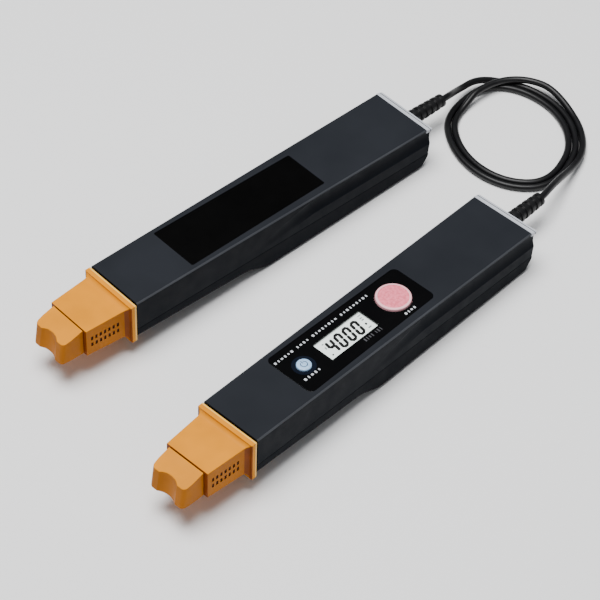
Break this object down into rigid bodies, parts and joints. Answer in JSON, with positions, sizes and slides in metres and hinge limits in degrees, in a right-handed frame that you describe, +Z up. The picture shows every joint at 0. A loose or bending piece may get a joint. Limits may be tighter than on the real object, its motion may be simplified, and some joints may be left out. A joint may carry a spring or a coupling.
{
  "type": "two-wand voltage tester",
  "caption": "Slim dark handheld wand with a display, buttons and a notched orange tip, joined by a thin coiled cord to a plain wand with the same tip.",
  "frame": {"origin": "middle of both wands' footprint, cord left out, on the surface they rest on", "axes": "+Y along the main wand from its tip to its cord end, +X to its right seen from above, +Z up"},
  "size_m": [0.1426, 0.3563, 0.0344],
  "materials": {
    "case_plastic": "fine matte grain",
    "light_trim": "satin",
    "gloss_panel": "glossy",
    "matte_panel": "satin",
    "display_glass": "clear",
    "digit_ink": "matte",
    "pink_rubber": "satin",
    "blue_plastic": "satin",
    "orange_plastic": "satin",
    "board": "satin",
    "steel": "satin",
    "brass": "satin",
    "battery_case": "gloss",
    "foam": "matte",
    "cord_rubber": "satin",
    "wire_cover": "satin",
    "dark_plastic": "matte"
  },
  "bodies": {
    "root": {"main_upper_case": "case_plastic", "main_lower_case": "case_plastic", "main_end_trim": "light_trim", "display_panel": "gloss_panel", "display_window": "display_glass", "lcd_frame": "dark_plastic", "lcd_glass": "display_glass", "lcd_digits": "digit_ink", "hold_dome": "steel", "power_dome": "steel", "hold_switch": "dark_plastic", "power_switch": "dark_plastic", "main_board": "board", "main_board_parts": "dark_plastic", "main_board_screws": "steel", "battery": "battery_case", "battery_pad": "foam", "battery_clip": "dark_plastic", "battery_leads": "wire_cover", "main_wires": "wire_cover", "main_tip_sleeve": "orange_plastic", "main_tip_nose": "orange_plastic", "main_electrode": "brass", "main_sensor_lead": "wire_cover", "main_strain_relief": "cord_rubber", "main_cord_clamp": "dark_plastic", "main_cord_tail": "cord_rubber", "main_case_screws": "steel", "second_upper_case": "case_plastic", "second_lower_case": "case_plastic", "second_end_trim": "light_trim", "blank_panel": "matte_panel", "second_board": "board", "second_board_parts": "dark_plastic", "second_board_screws": "steel", "second_wires": "wire_cover", "second_tip_sleeve": "orange_plastic", "second_tip_nose": "orange_plastic", "second_electrode": "brass", "second_sensor_lead": "wire_cover", "second_strain_relief": "cord_rubber", "second_cord_clamp": "dark_plastic", "second_cord_tail": "cord_rubber", "second_case_screws": "steel", "main_cord_lead": "cord_rubber", "second_cord_lead": "cord_rubber", "cord_coil": "cord_rubber"},
    "hold_button": {"hold_button": "pink_rubber"},
    "power_button": {"power_button": "blue_plastic"},
    "battery_cover": {"battery_cover": "case_plastic"}
  },
  "joints": [
    {"name": "hold_press", "type": "slide", "parent": "root", "child": "hold_button", "axis": [0, -0.0383, -0.9993], "range_m": [0, 0.0008], "stiffness_N_per_m": 600, "deforming": ["hold_dome"]},
    {"name": "power_press", "type": "slide", "parent": "root", "child": "power_button", "axis": [0, -0.0383, -0.9993], "range_m": [0, 0.0006], "stiffness_N_per_m": 600, "deforming": ["power_dome"]},
    {"name": "cover_slide", "type": "slide", "parent": "root", "child": "battery_cover", "axis": [0, 1, 0], "range_m": [0, 0.012]}
  ]
}
